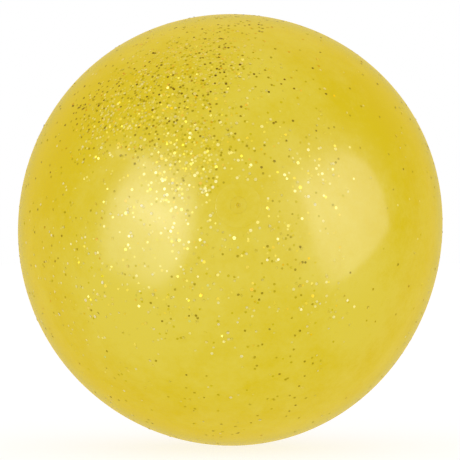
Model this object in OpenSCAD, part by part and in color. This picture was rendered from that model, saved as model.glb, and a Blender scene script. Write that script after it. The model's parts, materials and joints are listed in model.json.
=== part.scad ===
/* [Ball] */
// Diameter across the narrow way of the ball, without the parting line
ball_w = 220; // [180:1:280]
// Diameter along the long way: a soft inflated ball is never quite round
ball_h = 224; // [180:1:280]
// Lean of the long way from upright towards the right, in degrees
ball_lean = 12; // [0:1:40]
// Thickness of the moulded skin
wall = 0.8; // [0.6:0.05:1.6]

/* [Parting line] */
// Width of the raised line where the two halves of the mould met
seam_w = 0.9; // [0.4:0.1:2]
// Height of that line above the skin
seam_h = 0.12; // [0.05:0.01:0.3]

/* [Valve place] */
// Height of the valve above the ball's middle, as an angle
valve_lift = 6; // [-20:1:20]
// Turn of the valve towards the right, as an angle
valve_turn = 2; // [-20:1:20]

/* [Valve seat] */
// Diameter of the clear disc that lies flush in the skin
flange_d = 22; // [18:0.5:28]
// Thickness of the disc at its rim
flange_t = 1; // [0.8:0.1:1.6]
// Depth of the groove round the disc, half its width
groove_r = 0.2; // [0.1:0.05:0.35]
// Length of the seat from the ball's surface to its inner end
neck_len = 13; // [10:0.5:18]
// Thickness of the neck round the plug
neck_wall = 2.2; // [1.8:0.1:3]
// Thickness of the lip that stops the plug at the inner end
lip_t = 1; // [0.6:0.1:1.6]
// Reach of that lip over the plug's end
lip_reach = 0.8; // [0.4:0.1:1.2]

/* [Valve plug] */
// Diameter across the plug's sealing ribs
plug_d = 6; // [5:0.1:7]
// Thickness of the plug's flush head
head_t = 1.6; // [1:0.1:2.2]
// Reach of the head over the neck
head_rim = 1.1; // [0.6:0.1:1.4]
// Radius of each half-round sealing rib
rib_r = 0.45; // [0.2:0.05:0.6]
// Number of sealing ribs
rib_count = 3; // [1:1:4]
// Diameter of the channel for the inflating needle
needle_d = 1.6; // [1.2:0.1:2.2]
// Diameter of the channel's flared mouth
mouth_d = 2.4; // [2.3:0.1:3.4]
// Depth of the flared mouth
mouth_t = 0.5; // [0.3:0.1:0.9]
// Thickness of the solid tip that seals behind the needle
tip_t = 2.6; // [2:0.1:3.5]

/* [Glitter] */
// Width of a six-sided foil flake across its corners
flake_d = 1.1; // [0.6:0.1:1.3]
// Thickness of the foil
flake_t = 0.05; // [0.04:0.01:0.1]
// Number of places for foil flakes of both colours
flake_count = 660; // [100:10:700]
// Most that a flake lies tilted in the skin, in degrees
flake_tilt = 12; // [0:1:15]

/* [Hidden] */
$fn = 96;
// Steps round the large outer form, fine enough for its shallow curve over the small valve
form_steps = 360;

// Clearances: the moulded-in seat's bond line, and the plug in its bore
bond_gap = 0.05;
plug_gap = 0.05;
// See-through share of the clear plastic
skin_alpha = 0.8;
// How far a cutting solid runs past what it cuts
overrun = 3;

// Direction of the valve from the ball's middle
valve_dir = [sin(valve_turn) * cos(valve_lift), -cos(valve_turn) * cos(valve_lift), sin(valve_lift)];

// Distance from the middle to the skin's surface in a direction
function reach(dir) =
    let (across = dir.x * cos(ball_lean) - dir.z * sin(ball_lean))
    let (along = dir.x * sin(ball_lean) + dir.z * cos(ball_lean))
    1 / norm([across * 2 / ball_w, dir.y * 2 / ball_w, along * 2 / ball_h]);

valve_reach = reach(valve_dir);
// Height that the curved surface loses from the valve's axis out to a radius
function sag(radius) = valve_reach - sqrt(valve_reach * valve_reach - radius * radius);

flange_r = flange_d / 2;
flange_floor = sag(flange_r) + flange_t;
bore_r = plug_d / 2 + plug_gap;
neck_r = bore_r + neck_wall;
// Cone that stiffens the neck's root under the disc
root_t = flange_t;
root_r = neck_r + root_t;
// The skin closes over the disc's inner side, and thins out in a sleeve along the neck
pad_floor = flange_floor + bond_gap + wall;
pad_r = flange_r + 2 * wall;
pad_edge = sag(pad_r) + wall / 2;
sleeve_share = 0.55;
sleeve_floor = pad_floor + (neck_len - pad_floor) * sleeve_share;
sleeve_t = wall / 2;
neck_bevel = neck_wall / 3;

plug_len = neck_len - lip_t - plug_gap;
shank_r = plug_d / 2 - rib_r;
head_r = plug_d / 2 + head_rim;
taper_len = tip_t / 2;
rib_pitch = (plug_len - head_t - taper_len) / rib_count;
channel_len = plug_len - tip_t;

// Drifts of flakes, where the liquid skin carried them: the turn, height and spread of each, in quarter turns
drift_place_shares = [[-0.2, 0.42, 0.17], [-0.48, 0.32, 0.07], [-0.09, 0.2, 0.08], [-0.06, -0.04, 0.28],
    [1.67, 0.11, 0.36]];
// Share of all flakes that lies in each drift
drift_shares = [0.38, 0.06, 0.08, 0.2, 0.28];
golden_turn = 180 * (3 - sqrt(5));
scatter_seed = 11;
stray_share = 0.35;
depth_shares = [0.22, 0.6];
// Least space from one flake's corners to the next
flake_gap = 0.2;
clear_r = flange_r + groove_r + flake_d;
clear_angle = asin(clear_r / valve_reach);
stray = rands(-stray_share, stray_share, 2 * flake_count, scatter_seed);
lie_turn = rands(0, 360, flake_count, scatter_seed + 1);
lie_tilt = rands(0, flake_tilt, flake_count, scatter_seed + 2);
lie_depth = rands(depth_shares[0], depth_shares[1], flake_count, scatter_seed + 3);

// Half of the oval outline, on one side of the long way
module half_outline(inset)
    intersection() {
        scale([ball_w / 2 - inset, ball_h / 2 - inset])
        circle(1);
        translate([0, -ball_h])
        square([ball_w, 2 * ball_h]);
    }

// Outer form of the ball, drawn in all over by an inset
module ball_form(inset)
    rotate([0, ball_lean, 0])
    rotate_extrude($fn = form_steps)
    half_outline(inset, $fn = form_steps);

// Turns what is drawn along +Z to the valve's direction, with zero at the surface
module at_valve()
    rotate([0, 0, valve_turn])
    rotate([90 - valve_lift, 0, 0])
    translate([0, 0, valve_reach])
    children();

// Solid turned round the valve's axis from a list of [radius, depth below the surface]
module turned(outline)
    at_valve()
    rotate_extrude()
    polygon([for (point = outline) [point[0], -point[1]]]);

// V-shaped groove that shows where disc and skin meet
module rim_groove()
    turned([
        [flange_r, sag(flange_r) + groove_r],
        [flange_r + 2 * groove_r, sag(flange_r) - groove_r],
        [flange_r - 2 * groove_r, sag(flange_r) - groove_r]
    ]);

// Line left by the mould, round the ball's middle as seen from the valve
module parting_line()
    intersection() {
        ball_form(-seam_h);
        at_valve()
        translate([0, 0, -valve_reach])
        cylinder(r = ball_w + ball_h, h = seam_w, center = true);
    }

// Outside of the seat, or with a gap added the hollow that it fills in the skin
module seat_form(gap, neck_end, top)
    turned([
        [0, top],
        [flange_r + gap, top],
        [flange_r + gap, flange_floor + gap],
        [root_r + gap, flange_floor + gap],
        [neck_r + gap, flange_floor + root_t + gap],
        [neck_r + gap, neck_end - neck_bevel],
        [neck_r + gap - neck_bevel, neck_end],
        [0, neck_end]
    ]);

module ball_skin()
    color([0.86, 0.78, 0.2], skin_alpha)
    difference() {
        union() {
            difference() {
                union() {
                    ball_form(0);
                    parting_line();
                }
                ball_form(wall);
            }
            turned([
                [0, pad_edge],
                [pad_r, pad_edge],
                [pad_r - wall, pad_floor],
                [root_r + 2 * wall, pad_floor],
                [neck_r + bond_gap + wall, pad_floor + root_t],
                [neck_r + bond_gap + sleeve_t, sleeve_floor],
                [0, sleeve_floor]
            ]);
        }
        seat_form(bond_gap, neck_len + overrun, -overrun);
        rim_groove();
    }

module valve_seat()
    color([0.89, 0.81, 0.25], skin_alpha)
    difference() {
        intersection() {
            ball_form(0);
            seat_form(0, neck_len, -overrun);
        }
        turned([
            [0, -overrun],
            [head_r + plug_gap, -overrun],
            [head_r + plug_gap, head_t + plug_gap],
            [bore_r, head_t + plug_gap],
            [bore_r, neck_len - lip_t],
            [bore_r - lip_reach, neck_len - lip_t],
            [bore_r - lip_reach, neck_len + overrun],
            [0, neck_len + overrun]
        ]);
        rim_groove();
    }

module sealing_rib()
    rotate_extrude()
    translate([shank_r, 0])
    circle(r = rib_r, $fn = 32);

module valve_plug()
    color([0.84, 0.72, 0.12])
    difference() {
        union() {
            intersection() {
                ball_form(0);
                turned([
                    [0, -overrun],
                    [head_r, -overrun],
                    [head_r, head_t],
                    [shank_r, head_t],
                    [shank_r, plug_len - taper_len],
                    [shank_r - taper_len / 2, plug_len],
                    [0, plug_len]
                ]);
            }
            at_valve()
            for (i = [0 : rib_count - 1])
                translate([0, 0, -head_t - (i + 0.5) * rib_pitch])
                sealing_rib();
        }
        turned([
            [0, -overrun],
            [mouth_d / 2, -overrun],
            [mouth_d / 2, 0],
            [needle_d / 2, mouth_t],
            [needle_d / 2, channel_len],
            [0, channel_len]
        ]);
    }

// Share of the flakes in all drifts before one
function share_before(drift) = drift == 0 ? 0 : share_before(drift - 1) + drift_shares[drift - 1];

// Drift that holds the flake at a share of the way through them all
function drift_at(share, drift = 0) =
    drift == len(drift_shares) - 1 || share < share_before(drift + 1) ? drift : drift_at(share, drift + 1);

// A direction tipped from +Z by an angle, at a turn round it, seen from a drift's middle
function from_middle(tipped, turn, place) =
    let (near = [sin(tipped) * cos(turn), sin(tipped) * sin(turn), cos(tipped)])
    let (lower = near.y * sin(place[1]) - near.z * cos(place[1]))
    let (upper = near.y * cos(place[1]) + near.z * sin(place[1]))
    [near.x * cos(place[0]) - lower * sin(place[0]), near.x * sin(place[0]) + lower * cos(place[0]), upper];

// Direction of a flake: in each drift a spiral, thickest in its middle, opens out
function flake_dir(i) =
    let (share = (i + 0.5 + stray[2 * i]) / flake_count)
    let (drift = drift_at(share))
    let (inner_share = (share - share_before(drift)) / drift_shares[drift])
    let (place = 90 * drift_place_shares[drift])
    from_middle(place[2] * sqrt(-2 * ln(1 - inner_share)), (i + stray[2 * i + 1]) * golden_turn, place);

flake_dirs = [for (i = [0 : flake_count - 1]) flake_dir(i)];

// True where a flake keeps clear of the valve and of each flake before it
function has_room(i) =
    acos(flake_dirs[i] * valve_dir) > clear_angle &&
    len([
        for (j = [0 : 1 : i - 1])
            if (norm(flake_dirs[i] - flake_dirs[j]) * ball_w / 2 < flake_d + flake_gap) j
    ]) == 0;

// Flakes of one colour, cast in the skin
module glitter(first)
    for (i = [first : 2 : flake_count - 1])
        let (dir = flake_dirs[i])
        if (has_room(i))
            translate(dir * (reach(dir) - wall * lie_depth[i]))
            rotate([0, acos(dir.z), atan2(dir.y, dir.x)])
            rotate([0, 0, lie_turn[i]])
            rotate([lie_tilt[i], 0, 0])
            cylinder(d = flake_d, h = flake_t, center = true, $fn = 6);

module glitter_gold()
    color([0.95, 0.85, 0.35])
    glitter(0);

module glitter_silver()
    color([0.92, 0.93, 0.88])
    glitter(1);

ball_skin();
valve_seat();
valve_plug();
glitter_gold();
glitter_silver();
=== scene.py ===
"""Looks of a soft, clear yellow play ball with foil glitter cast in its skin and a flush needle valve."""

import json
import math

import bpy
import numpy as np
from mathutils import Matrix, Vector


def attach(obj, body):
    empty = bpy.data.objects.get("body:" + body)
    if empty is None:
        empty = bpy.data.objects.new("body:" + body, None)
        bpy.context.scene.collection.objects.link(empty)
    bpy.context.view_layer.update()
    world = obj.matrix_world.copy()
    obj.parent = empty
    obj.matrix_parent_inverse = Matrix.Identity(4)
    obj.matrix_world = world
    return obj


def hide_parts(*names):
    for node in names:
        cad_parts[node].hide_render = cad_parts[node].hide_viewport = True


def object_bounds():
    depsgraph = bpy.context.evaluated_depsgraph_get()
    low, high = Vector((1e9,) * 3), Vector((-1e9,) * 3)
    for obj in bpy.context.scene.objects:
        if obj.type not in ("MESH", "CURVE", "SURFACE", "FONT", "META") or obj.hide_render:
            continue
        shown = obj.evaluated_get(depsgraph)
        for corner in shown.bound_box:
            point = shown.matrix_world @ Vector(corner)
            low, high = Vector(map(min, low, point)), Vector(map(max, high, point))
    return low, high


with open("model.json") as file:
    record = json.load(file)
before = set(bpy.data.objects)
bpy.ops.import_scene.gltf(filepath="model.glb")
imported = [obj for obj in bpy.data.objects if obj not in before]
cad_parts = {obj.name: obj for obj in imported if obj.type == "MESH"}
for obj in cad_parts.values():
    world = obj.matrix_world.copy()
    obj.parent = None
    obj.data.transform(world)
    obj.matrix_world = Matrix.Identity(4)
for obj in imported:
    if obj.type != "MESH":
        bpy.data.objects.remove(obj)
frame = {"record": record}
cad_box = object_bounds()

MM = 0.001
CM_PER_M = 100

# Form of the ball, from the frame's box and the lean of its long way
LEAN = math.radians(12)
BALL_W = cad_box[1][1] - cad_box[0][1]
HALF_Z = (cad_box[1][2] - cad_box[0][2]) / 2
BALL_H = 2 * math.sqrt(HALF_Z**2 - (BALL_W / 2 * math.sin(LEAN)) ** 2) / math.cos(LEAN)
FLOOR_Z = cad_box[0][2]

# A soft ball sags into faint three-sided and four-sided shapes
THREE_SIDED, THREE_TURN = 0.45 * MM, math.radians(35)
FOUR_SIDED, FOUR_TURN = 0.24 * MM, math.radians(29)
# The looks stay this far inside the solids, which leaves room for the flakes
SHRINK = 0.24 * MM

# The skin, its parting line, and the rings of both
WALL = 0.8 * MM
SEAM_RISE = 0.1 * MM
SEAM_HALF = 0.4 * MM
SEAM_RINGS = 13
SEGMENTS = 192
SKIN_STEP = math.radians(1.3)
INSIDE_STEP = math.radians(2.5)
# Rings of the outer face round the valve seat and its groove, by how far they lie from the seat
RIM_STEPS = [step * MM for step in (0.25, 0.45, 0.8, 1.5, 2.6, 4.2)]
# Edges sharper than this stay crisp
CREASE = math.radians(35)

# The valve, in the record's place: radii, lengths, thicknesses, and depths below the ball's surface
port = next(m for m in frame["record"]["mounts"] if m["name"] == "needle_port")
AXIS = np.array(port["axis"]) / np.linalg.norm(port["axis"])
NEEDLE_R = port["dims"]["r_mm"] * MM
PLUG_R = 3 * MM
GAP = 0.03 * MM
FLANGE_R = 11 * MM
FLANGE_T = 1 * MM
GROOVE = 0.045 * MM
GROOVE_W = 0.12 * MM
NECK_WALL = 2.2 * MM
NECK_LEN = 13 * MM
LIP_T = 1 * MM
LIP_REACH = 0.8 * MM
HEAD_RIM = 1.1 * MM
HEAD_T = 1.6 * MM
RIB_R = 0.45 * MM
RIBS = 3
MOUTH_R = 1.2 * MM
MOUTH_T = 0.5 * MM
LIP_DEPTH = 0.6 * MM
LIP_HOLE_R = 0.12 * MM
TIP_T = 2.6 * MM
# The skin's sleeve covers this share of the neck below the skin
SLEEVE_SHARE = 0.55
VALVE_SEGMENTS = 96
SEAT_RINGS, HEAD_RINGS, RIB_RINGS = 7, 6, 9

# How milky the vinyl is: a little everywhere, and patches as (turn, height, spread in degrees, amount). The
# patches are partly the vinyl's own cloudiness and partly painted light and shade: the paler ones paint the
# glow of light through the ball, the clearer ones paint shade.
MILK_EVERYWHERE = 0.52
MILK_AND_PAINTED_LIGHT_PATCHES = [
    (-62, 26, 18, -0.72),
    (-19, 41, 11, -0.45),
    (2, 34, 12, 0.18),
    (-30, -22, 13, 0.85),
    (-48, -28, 13, -0.15),
    (5, -8, 10, 0.3),
    (6, 10, 8, -0.25),
    (38, -21, 9, 0.78),
    (22, 46, 19, 0.9),
    (42, 38, 21, -1.05),
    (-85, -59, 22, -0.7),
    (-76, 8, 13, -0.15),
    (150, 20, 30, 0.45),
    (170, -40, 22, -0.5),
    (-130, -25, 30, 0.45),
]

# Glitter: the flakes' size, and the smallest and largest pale and dark ones as shares of it. The dark ones
# are drawn a little larger, which paints the shadow round each into the flake.
FLAKE_R = 0.61 * MM
FLAKE_T = 0.05 * MM
FLAKE_SIDES = 6
PALE_SIZES, DARK_SIZES = (0.8, 1.1), (0.9, 1.15)
# Middles of flakes lie at least this many radii apart
FLAKES_APART = 1.5
# Usual and largest tilt of a flake, and the share of its dip by which a tilted one is raised to stay in sight
FLAKE_TILT = math.radians(6)
MOST_TILT = 3 * FLAKE_TILT
DIP_RAISED = 0.6
# Under the clear vinyl a flake seems to tilt this many times as far
SEEMING_TILT = 3.5
GLITTER_SEED = 7
# Flakes lie at any depth in the vinyl: more of them deep than shallow, with the deepest veiled this far
VEIL_POWER = 0.62
VEILED = 0.9
# The shallowest pale flakes glare, and look larger than the deepest by this share
GLARE = 0.5
# Painted shade: the tone of flakes is lowered by this share times their height, so that flakes high on the
# ball, which catch less lamplight, are painted more golden and darker
HIGH_PAINTED_SHADE = 0.7
# Painted light: dark flakes low on the ball, near the lamps' highlights, are painted paler by blending them
# towards the vinyl by this share, which fades out between two heights. These are shares of the ball's radius.
LOW_PAINTED_LIGHT = 0.32
LOW_PAINTED_LIGHT_FADE = (0.35, 0.6)
# Flakes of each kind a sq cm: a few everywhere, and drifts as (turn, height, spread in degrees, flakes). The
# pale kind is painted light, for flakes that catch the lamps, and the dark kind painted shade, so the drifts
# lay painted light and shade as well as glitter.
EVERYWHERE = 0.25
PALE_DRIFTS = [
    (-37, 31, 6, 34),
    (-8, 18, 6, 38),
    (-13, 8, 8, 7),
    (-19, 32, 8, 44),
    (-15, 47, 10, 38),
    (17, 15, 8, 7),
    (-4, -6, 15, 6),
    (-38, -13, 15, 5),
    (25, -18, 4, 9),
    (150, 22, 18, 14),
    (-130, -20, 20, 9),
]
DARK_DRIFTS = [
    (-14, 44, 9, 13),
    (8, 70, 8, 3),
    (-43, 33, 7, 17),
    (-16, 33, 8, 16),
    (-24, 26, 6, 6),
    (-3, 20, 6, 10),
    (17, 29, 7, 3),
    (28, 42, 6, 1.5),
    (10, -5, 9, 4),
    (-45, 0, 15, 1),
    (-14, -23, 6, 2),
    (17, -35, 9, 2),
    (-10, -50, 9, 1.5),
    (145, 30, 17, 10),
    (168, -18, 24, 5),
    (-140, 25, 12, 7),
]

# The vinyl: its colours where it is clear and milky, its fine clouds with their scales, and its gloss
CLEAR, MILKY = (0.712, 0.549, 0.002), (0.76, 0.621, 0.049)
SOFT_CLEAR, SOFT_MILKY = (0.707, 0.532, 0.003), (0.747, 0.61, 0.045)
CLOUD_DETAIL, CLOUD_ROUGH, CLOUD_DEPTH = 5, 0.85, 2.4
SKIN_CLOUDS, SEAT_CLOUDS, PLUG_CLOUDS = 55, 90, 200
PVC_IOR = 1.54
GLOSS_ROUGH = 0.1
SHEEN, SHEEN_ROUGH, SHEEN_TINT = 1.0, 0.3, (1.0, 0.75, 0.03)

# Colours of the foils by tone, as (tone, colour), and of the vinyl over their deepest flakes. Besides their
# own gold, orange and green tints, the silver foil is painted pale as lamplit and the gold foil near black as
# shaded.
SILVER_AND_PAINTED_LIGHT = [
    (0, (1.0, 0.6, 0.04)),
    (0.07, (1.0, 0.78, 0.04)),
    (0.2, (1.0, 0.83, 0.09)),
    (0.4, (1.0, 0.9, 0.22)),
    (0.8, (1.0, 0.95, 0.42)),
    (0.98, (1.0, 0.97, 0.55)),
    (1, (0.62, 0.88, 0.3)),
]
GOLD_AND_PAINTED_SHADE = [
    (0, (1.0, 0.5, 0.002)),
    (0.05, (0.8, 0.45, 0.002)),
    (0.1, (0.12, 0.07, 0.0)),
    (0.6, (0.27, 0.195, 0.0)),
    (0.95, (0.52, 0.43, 0.02)),
    (1, (0.3, 0.33, 0.06)),
]
OVER_SILVER, OVER_GOLD = (0.712, 0.578, 0.014), (0.7, 0.565, 0.001)

# The camera, square to the ball's middle, and where the ball lies in the 460 px frame
PICTURE = 460
CAMERA_AWAY = 1.6
BALL_SPAN_PX = 428.3
BALL_X_PX, BALL_Y_PX = 230.5, 229.0
SENSOR = 36.0

# The lamps: how far they stand from the ball's middle, and the width of their faces as a multiple of that
LAMP_AWAY = 3.0
STRIP_AWAY = 0.9 * LAMP_AWAY
LAMP_SPAN = 2.0
# Lamplight is full where the cosine between the ways to the lamp and out of the ball is above the first, and
# none is left below the second
FADE_FROM, FADE_TO = 0.68, 0.2
# Where the photograph's two windows stand, as (turn, height)
LEFT_WINDOW, RIGHT_WINDOW = (-45, 5), (62, 2)

# The room that the gloss mirrors: its level, and pale patches as (turn, height, spread in degrees, level)
ROOM = 0.12
ROOM_GLOWS = [(-27, 2, 40, 0.6), (-75, 28, 7, 0.45), (180, 0, 30, 0.2)]
# Warm light that comes through the skin near the outline, mirrored from (angle from straight behind, colour)
THROUGH_SKIN = [
    (120, (0.1, 0.0, 0.0)),
    (91, (0.24, 0.0, 0.0)),
    (74, (0.3, 0.0, 0.0)),
    (60, (0.4, 0.04, 0.0)),
    (48, (0.45, 0.19, 0.0)),
    (41, (0.45, 0.19, 0.0)),
    (34, (0.33, 0.14, 0.0)),
    (28, (0.17, 0.09, 0.0)),
    (23, (0.09, 0.05, 0.04)),
    (17, (0.04, 0.02, 0.08)),
    (0, (0.0, 0.0, 0.12)),
]

# The floor: half its width, its grey, its roughness and the even light that the camera sees on it
FLOOR_HALF = 8.0
FLOOR_GREY = 0.3
FLOOR_ROUGH = 0.7
FLOOR_GLOW = 0.73


def unit(turn, height):
    """Direction at an angle to the right of the viewer's side and an angle above the level, in degrees."""
    turn, height = math.radians(turn), math.radians(height)
    level = math.cos(height)
    return np.array([math.sin(turn) * level, -math.cos(turn) * level, math.sin(height)])


def reach(dirs):
    """Distance from the middle to the ball's surface in each direction."""
    x, y, z = dirs[..., 0], dirs[..., 1], dirs[..., 2]
    short_way = x * math.cos(LEAN) - z * math.sin(LEAN)
    long_way = x * math.sin(LEAN) + z * math.cos(LEAN)
    oval = 1 / np.sqrt((short_way**2 + y**2) / (BALL_W / 2) ** 2 + long_way**2 / (BALL_H / 2) ** 2)
    turn = np.arctan2(z, x)
    sag = THREE_SIDED * (1 - np.cos(3 * (turn - THREE_TURN)))
    sag += FOUR_SIDED * (1 - np.cos(4 * (turn - FOUR_TURN)))
    return oval - SHRINK - sag * (x**2 + z**2) ** 1.5


# Two directions square to the valve's axis
SIDE = np.cross([0, 0, 1], AXIS) / np.linalg.norm(np.cross([0, 0, 1], AXIS))
UP = np.cross(AXIS, SIDE)

# Sizes of the valve that follow from those above
VALVE_REACH = float(reach(AXIS))
BORE_R = PLUG_R + GAP
NECK_R = BORE_R + NECK_WALL
ROOT_R = NECK_R + FLANGE_T
RIM_SAG = VALVE_REACH - math.sqrt(VALVE_REACH**2 - FLANGE_R**2)
FLANGE_FLOOR = RIM_SAG + FLANGE_T
PAD_FLOOR = FLANGE_FLOOR + GAP + WALL
PAD_R = FLANGE_R + 2 * WALL
SLEEVE_FLOOR = PAD_FLOOR + (NECK_LEN - PAD_FLOOR) * SLEEVE_SHARE
PLUG_LEN = NECK_LEN - LIP_T - GAP
HEAD_R = PLUG_R + HEAD_RIM
SHANK_R = PLUG_R - RIB_R


def spokes(count):
    """Unit directions spread evenly round the valve's axis."""
    turns = np.arange(count) * 2 * math.pi / count
    return np.outer(np.cos(turns), SIDE) + np.outer(np.sin(turns), UP)


def surface_ring(angle, lift=0.0, count=SEGMENTS):
    """Ring on the ball's surface at an angle from the valve's axis, raised by lift."""
    dirs = math.cos(angle) * AXIS + math.sin(angle) * spokes(count)
    return dirs * (reach(dirs) + lift)[:, None]


def surface_at(radius, lift=0.0, count=SEGMENTS):
    """Ring on the ball's surface at a radius from the valve's axis, raised by lift."""
    return surface_ring(math.asin(radius / VALVE_REACH), lift, count)


def turned_ring(radius, depth, count=SEGMENTS):
    """Ring at a radius from the valve's axis and a depth below the surface on that axis."""
    return (VALVE_REACH - depth) * AXIS + radius * spokes(count)


def lathe(name, rings, poles=None):
    """
    Smooth piece of vinyl through rings of equal length, with its milkiness and painted light and shade on
    each point. It closes on a pole at each end, or else from the last ring to the first.
    """
    count = len(rings[0])
    points = np.concatenate(rings)
    faces = []
    pairs = list(zip(range(len(rings) - 1), range(1, len(rings))))
    if poles is None:
        pairs.append((len(rings) - 1, 0))
    for a, b in pairs:
        for i in range(count):
            j = (i + 1) % count
            faces.append((a * count + i, a * count + j, b * count + j, b * count + i))
    if poles is not None:
        start, end = len(points), len(points) + 1
        points = np.concatenate([points, poles])
        last = (len(rings) - 1) * count
        for i in range(count):
            j = (i + 1) % count
            faces.append((start, j, i))
            faces.append((end, last + i, last + j))
    mesh = bpy.data.meshes.new(name)
    mesh.from_pydata(points.tolist(), [], faces)
    mesh.validate()
    mesh.update()
    mesh.polygons.foreach_set("use_smooth", np.ones(len(mesh.polygons), dtype=bool))
    mesh.set_sharp_from_angle(angle=CREASE)
    store_milk_and_painted_light(mesh)
    return place(name, mesh)


def place(name, data):
    """Object in the scene for a mesh, light or camera."""
    thing = bpy.data.objects.new(name, data)
    bpy.context.scene.collection.objects.link(thing)
    return thing


def store_milk_and_painted_light(mesh):
    """Stores on each point how milky the vinyl is there, 0 clear and 1 milky, with the patches' painted light
    and shade added.
    """
    points = np.empty(len(mesh.vertices) * 3)
    mesh.vertices.foreach_get("co", points)
    dirs = points.reshape(-1, 3)
    dirs = dirs / np.linalg.norm(dirs, axis=1)[:, None]
    milk_and_painted_light = np.full(len(dirs), MILK_EVERYWHERE)
    for turn, height, spread, amount in MILK_AND_PAINTED_LIGHT_PATCHES:
        milk_and_painted_light += amount * patch(dirs, turn, height, spread)
    mesh.attributes.new("milk_and_painted_light", "FLOAT", "POINT").data.foreach_set("value", milk_and_painted_light)


def patch(dirs, turn, height, spread):
    """Round patch on the ball: 1 in its middle, and fading over its spread in degrees."""
    return np.exp((dirs @ unit(turn, height) - 1) / math.radians(spread) ** 2)


def seam_lift(angle):
    """Rise of the parting line, a low round ridge, at an angle from the valve's axis."""
    away = (angle - math.pi / 2) * BALL_W / 2
    return SEAM_RISE * math.exp(-((away / SEAM_HALF) ** 2) * 2)


def make_skin():
    """The hollow skin: outer face, mouth for the valve seat, sleeve round its neck and inner face."""
    near = [math.asin((FLANGE_R + step) / VALVE_REACH) for step in RIM_STEPS]
    far = np.arange(near[-1] + SKIN_STEP, math.pi - SKIN_STEP / 2, SKIN_STEP)
    far = [angle for angle in far if abs(angle - math.pi / 2) > SKIN_STEP]
    seam = [math.pi / 2 + (k - SEAM_RINGS // 2) * SEAM_HALF / BALL_W for k in range(SEAM_RINGS)]
    rings = [surface_ring(angle, seam_lift(angle)) for angle in sorted(near + far + seam, reverse=True)]
    rings += [
        surface_at(FLANGE_R + GROOVE_W, -GROOVE / 2),
        surface_at(FLANGE_R, -GROOVE),
        turned_ring(FLANGE_R, FLANGE_FLOOR + GAP),
        turned_ring(ROOT_R + GAP, FLANGE_FLOOR + GAP),
        turned_ring(NECK_R + GAP, FLANGE_FLOOR + FLANGE_T + GAP),
        turned_ring(NECK_R + GAP, SLEEVE_FLOOR),
        turned_ring(NECK_R + GAP + WALL / 2, SLEEVE_FLOOR),
        turned_ring(NECK_R + GAP + WALL, PAD_FLOOR + FLANGE_T),
        turned_ring(ROOT_R + 2 * WALL, PAD_FLOOR),
        turned_ring(PAD_R - WALL, PAD_FLOOR),
    ]
    first = math.asin((PAD_R + WALL / 2) / VALVE_REACH)
    inner = np.linspace(first, math.pi - INSIDE_STEP, round((math.pi - first) / INSIDE_STEP))
    rings += [surface_ring(angle, -WALL) for angle in inner]
    back = -AXIS * float(reach(-AXIS))
    return lathe("skin", rings, [back, back + AXIS * WALL])


def make_seat():
    """The clear disc in the skin, with the neck that grips the plug."""
    n = VALVE_SEGMENTS
    bevel = NECK_WALL / 3
    top = np.linspace(HEAD_R + 1.5 * GAP, FLANGE_R - 2.5 * GROOVE, SEAT_RINGS)
    rings = [surface_at(radius, 0, n) for radius in top]
    rings += [
        surface_at(FLANGE_R - GROOVE, -GROOVE * 0.2, n),
        surface_at(FLANGE_R - GROOVE / 2, -GROOVE / 2, n),
        surface_at(FLANGE_R, -GROOVE, n),
        turned_ring(FLANGE_R, FLANGE_FLOOR, n),
        turned_ring(ROOT_R, FLANGE_FLOOR, n),
        turned_ring(NECK_R, FLANGE_FLOOR + FLANGE_T, n),
        turned_ring(NECK_R, NECK_LEN - bevel, n),
        turned_ring(NECK_R - bevel, NECK_LEN, n),
        turned_ring(BORE_R - LIP_REACH, NECK_LEN, n),
        turned_ring(BORE_R - LIP_REACH, NECK_LEN - LIP_T, n),
        turned_ring(BORE_R, NECK_LEN - LIP_T, n),
        turned_ring(BORE_R, HEAD_T + GAP, n),
        turned_ring(HEAD_R + GAP, HEAD_T + GAP, n),
        surface_at(HEAD_R + GAP, -GAP / 2, n),
    ]
    return lathe("seat", rings)


def make_plug():
    """The soft plug: flush head, ribbed shank, tapered tip, and the needle's channel behind a thin lip."""
    n = VALVE_SEGMENTS
    taper = TIP_T / 2
    pitch = (PLUG_LEN - HEAD_T - taper) / RIBS
    rings = [turned_ring(SHANK_R - taper / 2, PLUG_LEN, n), turned_ring(SHANK_R, PLUG_LEN - taper, n)]
    for i in reversed(range(RIBS)):
        middle = HEAD_T + (i + 0.5) * pitch
        for turn in np.linspace(0, math.pi, RIB_RINGS):
            rings.append(turned_ring(SHANK_R + RIB_R * math.sin(turn), middle + RIB_R * math.cos(turn), n))
    rings += [
        turned_ring(SHANK_R, HEAD_T, n),
        turned_ring(HEAD_R - GAP, HEAD_T, n),
        turned_ring(HEAD_R, HEAD_T - GAP, n),
        surface_at(HEAD_R, -GAP / 2, n),
    ]
    head = np.linspace(HEAD_R - GAP / 2, MOUTH_R + 2 * GAP, HEAD_RINGS)
    rings += [surface_at(radius, 0, n) for radius in head]
    rings += [
        turned_ring(MOUTH_R, GAP, n),
        turned_ring(NEEDLE_R, MOUTH_T, n),
        turned_ring(NEEDLE_R, LIP_DEPTH, n),
        turned_ring(LIP_HOLE_R, LIP_DEPTH + LIP_HOLE_R, n),
        turned_ring(LIP_HOLE_R, LIP_DEPTH + 3 * LIP_HOLE_R, n),
        turned_ring(NEEDLE_R, LIP_DEPTH + 4 * LIP_HOLE_R, n),
        turned_ring(NEEDLE_R, PLUG_LEN - TIP_T, n),
    ]
    tip = VALVE_REACH - PLUG_LEN
    return lathe("plug", rings, [tip * AXIS, (tip + TIP_T) * AXIS])


def crowding(dirs, drifts):
    """Flakes a square centimetre in each direction."""
    total = np.full(len(dirs), EVERYWHERE)
    for turn, height, spread, most in drifts:
        total += most * patch(dirs, turn, height, spread)
    return total


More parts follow.
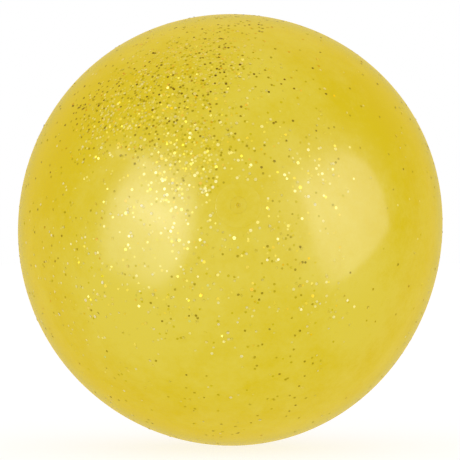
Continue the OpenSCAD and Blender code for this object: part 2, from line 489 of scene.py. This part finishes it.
def scatter(rng):
    """Directions of the pale and of the dark flakes: none on the valve, and none too close to another."""
    most = 2 * EVERYWHERE + sum(drift[3] for drift in PALE_DRIFTS + DARK_DRIFTS)
    surface = math.pi * BALL_W * BALL_H * CM_PER_M**2
    tries = rng.normal(size=(round(surface * most), 3))
    tries /= np.linalg.norm(tries, axis=1)[:, None]
    wanted = crowding(tries, PALE_DRIFTS) + crowding(tries, DARK_DRIFTS)
    kept = tries[rng.random(len(tries)) * most < wanted]
    kept = kept[kept @ AXIS < math.cos((FLANGE_R + 2 * FLAKE_R) / VALVE_REACH)]
    apart = FLAKES_APART * FLAKE_R / (BALL_W / 2)
    clear = []
    for i, one in enumerate(kept):
        if i == 0 or (kept[:i] @ one).max() < math.cos(apart):
            clear.append(one)
    clear = np.array(clear)
    pale, dark = crowding(clear, PALE_DRIFTS), crowding(clear, DARK_DRIFTS)
    is_pale = rng.random(len(clear)) * (pale + dark) < pale
    return clear[is_pale], clear[~is_pale]


def lay_flake(out, sizes, glare, low_painted_light, rng):
    """
    One flake in the skin's face, a little tilted: its middle, its ring of corners, the way it faces, the way
    it seems to face, its tone and its veil. The tone holds painted shade, lowered high on the ball. The veil
    is large where the flake lies deep in the vinyl, and is raised on low dark flakes as painted light.
    """
    side = np.cross(out, rng.normal(size=3))
    side /= np.linalg.norm(side)
    tilt = min(FLAKE_TILT * abs(rng.normal()), MOST_TILT)
    normal = out * math.cos(tilt) + side * math.sin(tilt)
    seeming = out * math.cos(tilt * SEEMING_TILT) + side * math.sin(tilt * SEEMING_TILT)
    across = np.cross(normal, side)
    across /= np.linalg.norm(across)
    along = np.cross(across, normal)
    size = FLAKE_R * rng.uniform(*sizes)
    tone_and_painted_shade = rng.random() * (1 - HIGH_PAINTED_SHADE * max(out[2], 0))
    veil_and_painted_light = rng.random() ** VEIL_POWER
    veil_and_painted_light += (1 - veil_and_painted_light) * low_painted_light * float(np.interp(out[2], LOW_PAINTED_LIGHT_FADE, (1, 0)))
    size *= 1 + glare * (1 - veil_and_painted_light) ** 2
    middle = out * (float(reach(out)) + size * math.sin(tilt) * DIP_RAISED)
    turns = np.arange(FLAKE_SIDES) * 2 * math.pi / FLAKE_SIDES
    ring = middle + size * (np.outer(np.cos(turns), along) + np.outer(np.sin(turns), across))
    return middle, ring, normal, seeming, tone_and_painted_shade, veil_and_painted_light


def make_flakes(name, dirs, sizes, glare, low_painted_light, rng):
    """Foil flakes as thin prisms, with the tone and the veil of each, both holding painted light and shade,
    on its points.
    """
    points, faces, tones_and_painted_shade, veils_and_painted_light, normals = [], [], [], [], []
    for out in dirs:
        middle, ring, normal, seeming, tone_and_painted_shade, veil_and_painted_light = lay_flake(out, sizes, glare, low_painted_light, rng)
        base = len(points)
        points += list(ring + normal * FLAKE_T / 2) + list(ring - normal * FLAKE_T / 2)
        top = [base + k for k in range(FLAKE_SIDES)]
        faces += [top, [k + FLAKE_SIDES for k in reversed(top)]]
        normals += [seeming] * FLAKE_SIDES + [-normal] * FLAKE_SIDES
        for k in range(FLAKE_SIDES):
            m = (k + 1) % FLAKE_SIDES
            faces.append([top[k], top[k] + FLAKE_SIDES, top[m] + FLAKE_SIDES, top[m]])
            edge = ring[k] + ring[m] - 2 * middle
            normals += [edge / np.linalg.norm(edge)] * 4
        tones_and_painted_shade += [tone_and_painted_shade] * (2 * FLAKE_SIDES)
        veils_and_painted_light += [veil_and_painted_light] * (2 * FLAKE_SIDES)
    mesh = bpy.data.meshes.new(name)
    mesh.from_pydata([point.tolist() for point in points], [], faces)
    mesh.attributes.new("tone_and_painted_shade", "FLOAT", "POINT").data.foreach_set("value", tones_and_painted_shade)
    mesh.attributes.new("veil_and_painted_light", "FLOAT", "POINT").data.foreach_set("value", veils_and_painted_light)
    mesh.normals_split_custom_set([normal.tolist() for normal in normals])
    mesh.update()
    return place(name, mesh)


def new_material(name):
    """Material, with its node tree and its Principled shader."""
    material = bpy.data.materials.new(name)
    material.use_nodes = True
    return material, material.node_tree, material.node_tree.nodes["Principled BSDF"]


def feed(tree, socket, value):
    """Gives a socket a value, which is another socket or a constant."""
    if isinstance(value, bpy.types.NodeSocket):
        tree.links.new(value, socket)
    else:
        socket.default_value = value


def maths(tree, operation, *values):
    """One step of arithmetic on its values, each a socket or a number."""
    node = tree.nodes.new("ShaderNodeMath")
    node.operation = operation
    for socket, value in zip(node.inputs, values):
        feed(tree, socket, value)
    return node.outputs[0]


def dot(tree, direction, axis):
    """Cosine between a direction and a fixed axis."""
    node = tree.nodes.new("ShaderNodeVectorMath")
    node.operation = "DOT_PRODUCT"
    node.inputs[1].default_value = axis
    tree.links.new(direction, node.inputs[0])
    return node.outputs["Value"]


def add_scaled(tree, amount, colour, base):
    """Colour times an amount, added to a base; each is a socket or a constant."""
    node = tree.nodes.new("ShaderNodeVectorMath")
    node.operation = "MULTIPLY_ADD"
    for socket, value in zip(node.inputs, (amount, colour, base)):
        feed(tree, socket, value)
    return node.outputs["Vector"]


def along_way(tree, across, up, way):
    """Place along a way, which is an angle from the across direction."""
    return maths(tree, "MULTIPLY_ADD", across, math.cos(way), maths(tree, "MULTIPLY", up, math.sin(way)))


def squared(tree, value, middle):
    """Square of how far a value lies from a middle."""
    return maths(tree, "POWER", maths(tree, "ABSOLUTE", maths(tree, "SUBTRACT", value, middle)), 2)


def smooth_step(tree, value, start, end):
    """Smooth step of a value from 0 at start to 1 at end."""
    node = tree.nodes.new("ShaderNodeMapRange")
    node.interpolation_type = "SMOOTHSTEP"
    node.inputs["From Min"].default_value = start
    node.inputs["From Max"].default_value = end
    tree.links.new(value, node.inputs["Value"])
    return node.outputs["Result"]


def ramp(tree, source, stops):
    """Colour ramp on a value, with stops as (place, colour)."""
    node = tree.nodes.new("ShaderNodeValToRGB")
    while len(node.color_ramp.elements) < len(stops):
        node.color_ramp.elements.new(0.5)
    for element, (position, colour) in zip(node.color_ramp.elements, stops):
        element.position = position
        element.color = (*colour, 1)
    tree.links.new(source, node.inputs["Fac"])
    return node.outputs["Color"]


def stored(tree, name):
    """Number that a piece stores on its points under a name."""
    node = tree.nodes.new("ShaderNodeAttribute")
    node.attribute_name = name
    return node.outputs["Fac"]


def clouds(tree, scale):
    """What fine clouds add to the milkiness, above and below 0, on the object's own coordinates."""
    where = tree.nodes.new("ShaderNodeTexCoord")
    node = tree.nodes.new("ShaderNodeTexNoise")
    node.inputs["Scale"].default_value = scale
    node.inputs["Detail"].default_value = CLOUD_DETAIL
    node.inputs["Roughness"].default_value = CLOUD_ROUGH
    tree.links.new(where.outputs["Object"], node.inputs["Vector"])
    return maths(tree, "MULTIPLY_ADD", node.outputs["Fac"], CLOUD_DEPTH, -CLOUD_DEPTH / 2)


def outwards(tree):
    """Direction out of the ball: the gloss over a tilted flake is still that of the smooth ball."""
    where = tree.nodes.new("ShaderNodeTexCoord")
    turn = tree.nodes.new("ShaderNodeVectorTransform")
    turn.vector_type = "NORMAL"
    turn.convert_from, turn.convert_to = "OBJECT", "WORLD"
    tree.links.new(where.outputs["Object"], turn.inputs["Vector"])
    return turn.outputs["Vector"]


def vinyl(name, clear, milky, scale):
    """Clear yellow PVC, paler where the stored milkiness and painted glow say so, with faint clouds of its
    own and a gloss.
    """
    material, tree, shader = new_material(name)
    milk_and_painted_light = maths(tree, "ADD", stored(tree, "milk_and_painted_light"), clouds(tree, scale))
    tree.links.new(ramp(tree, milk_and_painted_light, [(0, clear), (1, milky)]), shader.inputs["Base Color"])
    shader.inputs["Roughness"].default_value = GLOSS_ROUGH
    shader.inputs["IOR"].default_value = PVC_IOR
    shader.inputs["Sheen Weight"].default_value = SHEEN
    shader.inputs["Sheen Roughness"].default_value = SHEEN_ROUGH
    shader.inputs["Sheen Tint"].default_value = (*SHEEN_TINT, 1)
    return material


def foil(name, stops, over, metal, rough, coat):
    """Metallised film under yellow vinyl, its colours partly painted light and shade, picked by tone and
    blended into the vinyl by veil.
    """
    material, tree, shader = new_material(name)
    veil_and_painted_light = stored(tree, "veil_and_painted_light")
    blend = tree.nodes.new("ShaderNodeMix")
    blend.data_type = "RGBA"
    bare, covered = [socket for socket in blend.inputs if socket.type == "RGBA"]
    colour = next(socket for socket in blend.outputs if socket.type == "RGBA")
    tree.links.new(maths(tree, "MULTIPLY", veil_and_painted_light, VEILED), blend.inputs["Factor"])
    tree.links.new(ramp(tree, stored(tree, "tone_and_painted_shade"), stops), bare)
    covered.default_value = (*over, 1)
    tree.links.new(colour, shader.inputs["Base Color"])
    tree.links.new(maths(tree, "MULTIPLY_ADD", veil_and_painted_light, -metal, metal), shader.inputs["Metallic"])
    shader.inputs["Roughness"].default_value = rough
    shader.inputs["Specular IOR Level"].default_value = 0.0
    shader.inputs["Coat Weight"].default_value = coat
    shader.inputs["Coat Roughness"].default_value = GLOSS_ROUGH
    shader.inputs["Coat IOR"].default_value = PVC_IOR
    tree.links.new(outwards(tree), shader.inputs["Coat Normal"])
    return material


def dress(piece, material, body, slot, *nodes):
    """Gives a piece its material and the body it rides, and hides the CAD nodes it stands for. slot is not
    used.
    """
    piece.data.materials.append(material)
    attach(piece, body)
    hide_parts(*nodes)


def hot_spot(tree, across, up, middle, angle, halves):
    """Soft oval on a lamp's face, 1 in its middle. angle is that of the first of its halves, in degrees."""
    total = 0
    for way, half in zip((math.radians(angle), math.radians(angle + 90)), halves):
        centre = middle[0] * math.cos(way) + middle[1] * math.sin(way)
        off = squared(tree, along_way(tree, across, up, way), centre)
        total = maths(tree, "MULTIPLY_ADD", off, 1 / half**2, total)
    return maths(tree, "EXPONENT", maths(tree, "MULTIPLY", total, -1))


def lit_side(tree, across, up, away):
    """
    1 for light on the ball's side towards the lamp, and 0 for light that goes past it. It is told by how much
    shorter a ray is than the way from its place on the lamp to the ball's middle.
    """
    slant = maths(tree, "ADD", maths(tree, "ADD", squared(tree, across, 0), squared(tree, up, 0)), 1)
    to_middle = maths(tree, "MULTIPLY", maths(tree, "SQRT", slant), away)
    path = tree.nodes.new("ShaderNodeLightPath")
    shorter = maths(tree, "SUBTRACT", to_middle, path.outputs["Ray Length"])
    return smooth_step(tree, maths(tree, "MULTIPLY", shorter, 2 / BALL_W), FADE_TO, FADE_FROM)


def softbox(name, window, level, slopes=(0, 0), sides=(), spot=None, away=LAMP_AWAY, tint=(1, 1, 1)):
    """
    Lamp that the gloss mirrors, seen from the ball's middle in units of the distance to it. slopes brighten
    it to the right and upwards. sides are its straight edges, as (angle, distance, softness). spot is a
    hotter patch, as (middle, angle, half sizes, level). The light doesn't reach past the ball's edge, so that
    a view from behind keeps its outline.
    """
    light = bpy.data.lights.new(name, "AREA")
    light.shape = "SQUARE"
    light.size = LAMP_SPAN * away
    light.color = tint
    # With this energy the strength that the nodes give is the face's brightness
    light.energy = math.pi * light.size**2
    light.use_nodes = True
    tree = light.node_tree
    face = tree.nodes.new("ShaderNodeNewGeometry")
    split = tree.nodes.new("ShaderNodeSeparateXYZ")
    tree.links.new(face.outputs["Parametric"], split.inputs[0])
    across = maths(tree, "MULTIPLY_ADD", split.outputs["X"], LAMP_SPAN, -LAMP_SPAN / 2)
    up = maths(tree, "MULTIPLY_ADD", split.outputs["Y"], LAMP_SPAN, -LAMP_SPAN / 2)
    glow = maths(tree, "MULTIPLY_ADD", up, slopes[1] * level, level)
    glow = maths(tree, "MULTIPLY_ADD", across, slopes[0] * level, glow)
    if spot:
        middle, angle, halves, more = spot
        glow = maths(tree, "MULTIPLY_ADD", hot_spot(tree, across, up, middle, angle, halves), more, glow)
    for angle, distance, softness in sides:
        reached = along_way(tree, across, up, math.radians(angle))
        edge = smooth_step(tree, reached, distance + softness / 2, distance - softness / 2)
        glow = maths(tree, "MULTIPLY", glow, edge)
    glow = maths(tree, "MULTIPLY", glow, lit_side(tree, across, up, away))
    tree.links.new(glow, tree.nodes["Emission"].inputs["Strength"])
    lamp = place(name, light)
    direction = Vector(unit(*window))
    facing = direction.to_track_quat("Z", "Y").to_matrix().to_4x4()
    lamp.matrix_world = Matrix.Translation(direction * away) @ facing
    lamp.visible_diffuse = False


def make_camera():
    """Level camera on the viewer's side, with the ball where the photograph has it."""
    half = BALL_W / 2
    span = 2 * half / math.sqrt(CAMERA_AWAY**2 - half**2)
    camera = bpy.data.cameras.new("camera")
    camera.sensor_width = SENSOR
    camera.lens = BALL_SPAN_PX / PICTURE * SENSOR / span
    camera.shift_x = (PICTURE / 2 - BALL_X_PX) / PICTURE
    camera.shift_y = (BALL_Y_PX - PICTURE / 2) / PICTURE
    thing = place("camera", camera)
    thing.matrix_world = Matrix.Translation((0, -CAMERA_AWAY, 0)) @ Matrix.Rotation(math.pi / 2, 4, "X")
    bpy.context.scene.camera = thing


def make_world():
    """
    White to the camera and an even light on the ball. The gloss mirrors a dim room with pale patches, and
    near the outline a warm light that stands for what comes through the skin from behind.
    """
    world = bpy.data.worlds.new("studio")
    bpy.context.scene.world = world
    world.use_nodes = True
    # The light is even, so rays find it without being aimed at it
    world.cycles.sampling_method = "NONE"
    tree = world.node_tree
    direction = tree.nodes.new("ShaderNodeTexCoord").outputs["Generated"]
    darker = (ROOM - 1,) * 3
    for turn, height, spread, level in ROOM_GLOWS:
        sharp = 1 / math.radians(spread) ** 2
        facing = dot(tree, direction, unit(turn, height))
        near = maths(tree, "EXPONENT", maths(tree, "MULTIPLY_ADD", facing, sharp, -sharp))
        darker = add_scaled(tree, near, (level,) * 3, darker)
    # From 0 straight in front to 1 straight behind
    behind = maths(tree, "MULTIPLY_ADD", dot(tree, direction, unit(180, 0)), 0.5, 0.5)
    stops = [((math.cos(math.radians(angle)) + 1) / 2, colour) for angle, colour in THROUGH_SKIN]
    darker = add_scaled(tree, ramp(tree, behind, stops), (1, 1, 1), darker)
    path = tree.nodes.new("ShaderNodeLightPath")
    seen = add_scaled(tree, path.outputs["Is Glossy Ray"], darker, (1, 1, 1))
    tree.links.new(seen, tree.nodes["Background"].inputs["Color"])


def pale_floor():
    """Material of the floor: lit evenly to the camera, darker in the shadow, and clear from below."""
    material, tree, shader = new_material("pale_floor")
    shader.inputs["Base Color"].default_value = (FLOOR_GREY, FLOOR_GREY, FLOOR_GREY, 1)
    shader.inputs["Roughness"].default_value = FLOOR_ROUGH
    path = tree.nodes.new("ShaderNodeLightPath")
    glow = tree.nodes.new("ShaderNodeEmission")
    seen = maths(tree, "MULTIPLY", path.outputs["Is Camera Ray"], FLOOR_GLOW)
    tree.links.new(seen, glow.inputs["Strength"])
    both = tree.nodes.new("ShaderNodeAddShader")
    tree.links.new(shader.outputs[0], both.inputs[0])
    tree.links.new(glow.outputs[0], both.inputs[1])
    clear = tree.nodes.new("ShaderNodeBsdfTransparent")
    face = tree.nodes.new("ShaderNodeNewGeometry")
    either = tree.nodes.new("ShaderNodeMixShader")
    tree.links.new(face.outputs["Backfacing"], either.inputs["Fac"])
    tree.links.new(both.outputs[0], either.inputs[1])
    tree.links.new(clear.outputs[0], either.inputs[2])
    tree.links.new(either.outputs[0], tree.nodes["Material Output"].inputs["Surface"])
    return material


def make_floor():
    """Wide floor under the ball, seen by the camera alone, so that it adds no light to the ball."""
    mesh = bpy.data.meshes.new("floor")
    corners = [(x * FLOOR_HALF, y * FLOOR_HALF, FLOOR_Z) for x, y in ((-1, -1), (1, -1), (1, 1), (-1, 1))]
    mesh.from_pydata(corners, [], [(0, 1, 2, 3)])
    mesh.materials.append(pale_floor())
    floor = place("floor", mesh)
    floor.visible_glossy = False
    floor.visible_diffuse = False
    floor.visible_shadow = False


# The pieces
rng = np.random.default_rng(GLITTER_SEED)
pale_dirs, dark_dirs = scatter(rng)
dress(
    make_skin(), vinyl("clear_yellow_vinyl", CLEAR, MILKY, SKIN_CLOUDS),
    "ball", "clear_yellow_vinyl", "ball_skin",
)
dress(
    make_seat(), vinyl("plain_yellow_vinyl", CLEAR, MILKY, SEAT_CLOUDS),
    "ball", "plain_yellow_vinyl", "valve_seat",
)
dress(
    make_plug(), vinyl("valve_rubber", SOFT_CLEAR, SOFT_MILKY, PLUG_CLOUDS),
    "plug", "valve_rubber", "valve_plug",
)
# Dark flakes are painted near black as the shade that they mirror, pale ones painted bright as the lamplight
# that they catch
dress(
    make_flakes("gold_flakes_painted_shade", dark_dirs, DARK_SIZES, 0, LOW_PAINTED_LIGHT, rng),
    foil("gold_foil", GOLD_AND_PAINTED_SHADE, OVER_GOLD, metal=0.7, rough=0.35, coat=0.7),
    "ball", "gold_foil", "glitter_gold",
)
dress(
    make_flakes("silver_flakes_painted_light", pale_dirs, PALE_SIZES, GLARE, 0, rng),
    foil("silver_foil", SILVER_AND_PAINTED_LIGHT, OVER_SILVER, metal=0.4, rough=0.33, coat=1.0),
    "ball", "silver_foil", "glitter_silver",
)

# The studio
make_camera()
make_world()
make_floor()
softbox(
    "left_light", LEFT_WINDOW, level=3.1, slopes=(0.6, 0.9), tint=(0.92, 0.98, 1.0),
    sides=[
        (64, 0.4, 0.8), (-7, 0.46, 0.3), (-50, 0.55, 0.24), (-116, 0.59, 0.3), (163, 0.44, 0.4),
        (143, 0.49, 0.45),
    ],
    spot=((0.11, 0.03), -22, (0.29, 0.13), 1.8),
)
softbox(
    "right_light", RIGHT_WINDOW, level=1.4, slopes=(-0.25, -0.1),
    sides=[
        (56, 0.61, 0.14), (109, 0.55, 0.4), (21, 0.56, 0.1), (-53, 0.4, 0.09), (-127, 0.41, 0.28),
        (-162, 0.35, 0.16),
    ],
)
softbox("right_glow", (55, 12), level=0, spot=((0.02, 0), 0, (0.61, 0.61), 1.88))
softbox(
    "strip_light", LEFT_WINDOW, level=1.1, away=STRIP_AWAY,
    sides=[(73, 0.455, 0.06), (-107, -0.39, 0.06), (-17, 0.05, 0.3), (163, 0.75, 0.4)],
)
bpy.context.scene.view_settings.view_transform = "Standard"
